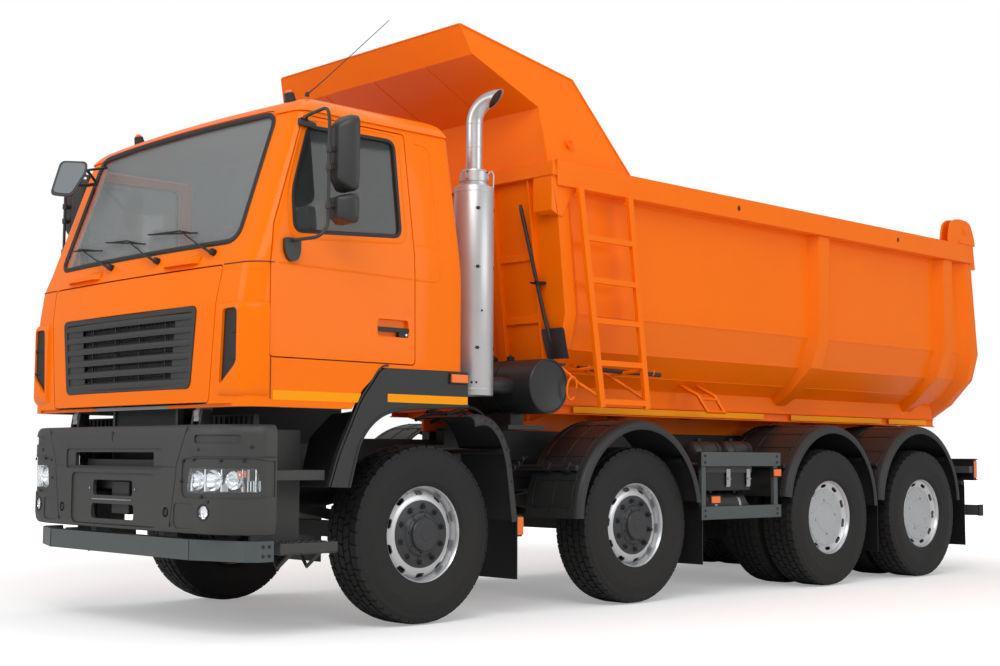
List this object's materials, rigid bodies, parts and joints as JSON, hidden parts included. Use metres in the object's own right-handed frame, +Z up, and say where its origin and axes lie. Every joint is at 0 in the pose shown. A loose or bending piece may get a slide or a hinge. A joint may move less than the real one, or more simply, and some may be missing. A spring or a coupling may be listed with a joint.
{
  "type": "four-axle dump truck",
  "caption": "Forward-control tipper truck with twin steered front axles, tilting cab, tipping trough bed with tailgate, hood over the cab and underbody lifting rams.",
  "frame": {"origin": "on the ground at the middle of the overall length and width", "axes": "+Z up, -Y towards the truck's front, +X towards the truck's left side"},
  "size_m": [2.99, 8.304, 3.7938],
  "materials": {
    "cab_orange": "gloss",
    "bed_orange": "gloss",
    "frame_black": "satin",
    "dark_plastic": "textured",
    "black_plastic": "matt",
    "steel_grey": "satin",
    "cast_grey": "rough",
    "bright_steel": "brushed",
    "glass_clear": "clear",
    "lamp_lens": "clear",
    "wheel_tyre": "rubber",
    "seat_fabric": "woven",
    "trim_grey": "moulded"
  },
  "bodies": {
    "root": {"frame_rails": "frame_black", "crossmembers": "frame_black", "hoist_subframe": "frame_black", "engine_block": "cast_grey", "front_bumper": "dark_plastic", "lamps": "lamp_lens", "underrun_bars": "steel_grey", "cab_steps": "black_plastic", "front_axle_beams": "cast_grey", "drive_axles": "cast_grey", "leaf_springs": "cast_grey", "drive_shafts": "cast_grey", "mudguards": "dark_plastic", "chassis_tanks": "frame_black", "side_guards": "steel_grey", "exhaust_stack": "bright_steel", "muffler_drum": "frame_black"},
    "cab": {"cab_shell": "cab_orange", "cab_roof": "cab_orange", "cab_glass": "glass_clear", "cab_floor": "trim_grey", "seats": "seat_fabric", "dashboard": "trim_grey", "steering_wheel": "black_plastic", "wheel_arches": "dark_plastic", "corner_deflectors": "cab_orange"},
    "front_flap": {"front_panel": "cab_orange", "grille": "black_plastic"},
    "left_door": {"left_door": "cab_orange", "left_door_glass": "glass_clear", "left_mirror": "black_plastic"},
    "right_door": {"right_door": "cab_orange", "right_door_glass": "glass_clear", "right_mirror": "black_plastic"},
    "bed": {"bed_body": "bed_orange", "bed_frame": "bed_orange", "bed_canopy": "bed_orange", "bed_ladder": "bed_orange"},
    "gate": {"tailgate": "bed_orange"},
    "ram_barrels": {"ram_barrels": "steel_grey"},
    "ram_stage_1": {"ram_stage_1": "bright_steel"},
    "ram_stage_2": {"ram_stage_2": "bright_steel"},
    "ram_stage_3": {"ram_stage_3": "bright_steel"},
    "ram_stage_4": {"ram_stage_4": "bright_steel"},
    "left_knuckle_1": {"left_knuckle_1": "cast_grey"},
    "left_knuckle_2": {"left_knuckle_2": "cast_grey"},
    "left_wheel_1": {"left_wheel_1": "wheel_tyre"},
    "left_wheel_2": {"left_wheel_2": "wheel_tyre"},
    "left_wheel_3": {"left_wheel_3": "wheel_tyre"},
    "left_wheel_4": {"left_wheel_4": "wheel_tyre"},
    "right_knuckle_1": {"right_knuckle_1": "cast_grey"},
    "right_knuckle_2": {"right_knuckle_2": "cast_grey"},
    "right_wheel_1": {"right_wheel_1": "wheel_tyre"},
    "right_wheel_2": {"right_wheel_2": "wheel_tyre"},
    "right_wheel_3": {"right_wheel_3": "wheel_tyre"},
    "right_wheel_4": {"right_wheel_4": "wheel_tyre"}
  },
  "joints": [
    {"name": "cab_tilt", "type": "hinge", "parent": "root", "child": "cab", "pos_m": [0, -3.98, 1.235], "axis": [1, 0, 0], "range_deg": [0, 50]},
    {"name": "front_flap_hinge", "type": "hinge", "parent": "cab", "child": "front_flap", "pos_m": [0, -4.066, 2.057], "axis": [-1, 0, 0], "range_deg": [0, 70]},
    {"name": "left_door_hinge", "type": "hinge", "parent": "cab", "child": "left_door", "pos_m": [1.25, -3.912, 1.8], "axis": [0, 0, -1], "range_deg": [0, 72]},
    {"name": "right_door_hinge", "type": "hinge", "parent": "cab", "child": "right_door", "pos_m": [-1.25, -3.912, 1.8], "axis": [0, 0, 1], "range_deg": [0, 72]},
    {"name": "bed_tilt", "type": "hinge", "parent": "root", "child": "bed", "pos_m": [0, 3.59, 1.15], "axis": [-1, 0, 0], "range_deg": [0, 50]},
    {"name": "tailgate_swing", "type": "hinge", "parent": "bed", "child": "gate", "pos_m": [0, 3.715, 3.075], "axis": [1, 0, 0], "range_deg": [0, 60]},
    {"name": "ram_swing", "type": "hinge", "parent": "root", "child": "ram_barrels", "pos_m": [0.215, 0.7, 1.02], "axis": [-1, 0, 0], "range_deg": [0, 24.2]},
    {"name": "ram_slide_1", "type": "slide", "parent": "ram_barrels", "child": "ram_stage_1", "axis": [0, 0, 1], "range_m": [0, 0.607]},
    {"name": "ram_slide_2", "type": "slide", "parent": "ram_stage_1", "child": "ram_stage_2", "axis": [0, 0, 1], "range_m": [0, 0.607]},
    {"name": "ram_slide_3", "type": "slide", "parent": "ram_stage_2", "child": "ram_stage_3", "axis": [0, 0, 1], "range_m": [0, 0.607]},
    {"name": "ram_slide_4", "type": "slide", "parent": "ram_stage_3", "child": "ram_stage_4", "axis": [0, 0, 1], "range_m": [0, 0.607]},
    {"name": "left_steer_1", "type": "hinge", "parent": "root", "child": "left_knuckle_1", "pos_m": [0.88, -2.695, 0.538], "axis": [0, 0, 1], "range_deg": [-35, 35]},
    {"name": "left_steer_2", "type": "hinge", "parent": "root", "child": "left_knuckle_2", "pos_m": [0.88, -0.752, 0.538], "axis": [0, 0, 1], "range_deg": [-21, 21]},
    {"name": "left_wheel_spin_1", "type": "hinge", "parent": "left_knuckle_1", "child": "left_wheel_1", "pos_m": [1.015, -2.695, 0.538], "axis": [1, 0, 0], "continuous": true},
    {"name": "left_wheel_spin_2", "type": "hinge", "parent": "left_knuckle_2", "child": "left_wheel_2", "pos_m": [1.015, -0.752, 0.538], "axis": [1, 0, 0], "continuous": true},
    {"name": "left_wheel_spin_3", "type": "hinge", "parent": "root", "child": "left_wheel_3", "pos_m": [1.095, 1.503, 0.538], "axis": [1, 0, 0], "continuous": true},
    {"name": "left_wheel_spin_4", "type": "hinge", "parent": "root", "child": "left_wheel_4", "pos_m": [1.095, 2.903, 0.538], "axis": [1, 0, 0], "continuous": true},
    {"name": "right_steer_1", "type": "hinge", "parent": "root", "child": "right_knuckle_1", "pos_m": [-0.88, -2.695, 0.538], "axis": [0, 0, 1], "range_deg": [-35, 35]},
    {"name": "right_steer_2", "type": "hinge", "parent": "root", "child": "right_knuckle_2", "pos_m": [-0.88, -0.752, 0.538], "axis": [0, 0, 1], "range_deg": [-21, 21]},
    {"name": "right_wheel_spin_1", "type": "hinge", "parent": "right_knuckle_1", "child": "right_wheel_1", "pos_m": [-1.015, -2.695, 0.538], "axis": [1, 0, 0], "continuous": true},
    {"name": "right_wheel_spin_2", "type": "hinge", "parent": "right_knuckle_2", "child": "right_wheel_2", "pos_m": [-1.015, -0.752, 0.538], "axis": [1, 0, 0], "continuous": true},
    {"name": "right_wheel_spin_3", "type": "hinge", "parent": "root", "child": "right_wheel_3", "pos_m": [-1.095, 1.503, 0.538], "axis": [1, 0, 0], "continuous": true},
    {"name": "right_wheel_spin_4", "type": "hinge", "parent": "root", "child": "right_wheel_4", "pos_m": [-1.095, 2.903, 0.538], "axis": [1, 0, 0], "continuous": true}
  ],
  "couplings": [
    {"joint": "right_steer_1", "follows": "left_steer_1", "ratio": 1},
    {"joint": "left_steer_2", "follows": "left_steer_1", "ratio": 0.6},
    {"joint": "right_steer_2", "follows": "left_steer_1", "ratio": 0.6},
    {"joint": "ram_swing", "follows": "bed_tilt", "ratio": 0.48322},
    {"joint": "ram_slide_1", "follows": "bed_tilt", "m_per_rad": 0.69531},
    {"joint": "ram_slide_2", "follows": "bed_tilt", "m_per_rad": 0.69531},
    {"joint": "ram_slide_3", "follows": "bed_tilt", "m_per_rad": 0.69531},
    {"joint": "ram_slide_4", "follows": "bed_tilt", "m_per_rad": 0.69531}
  ]
}
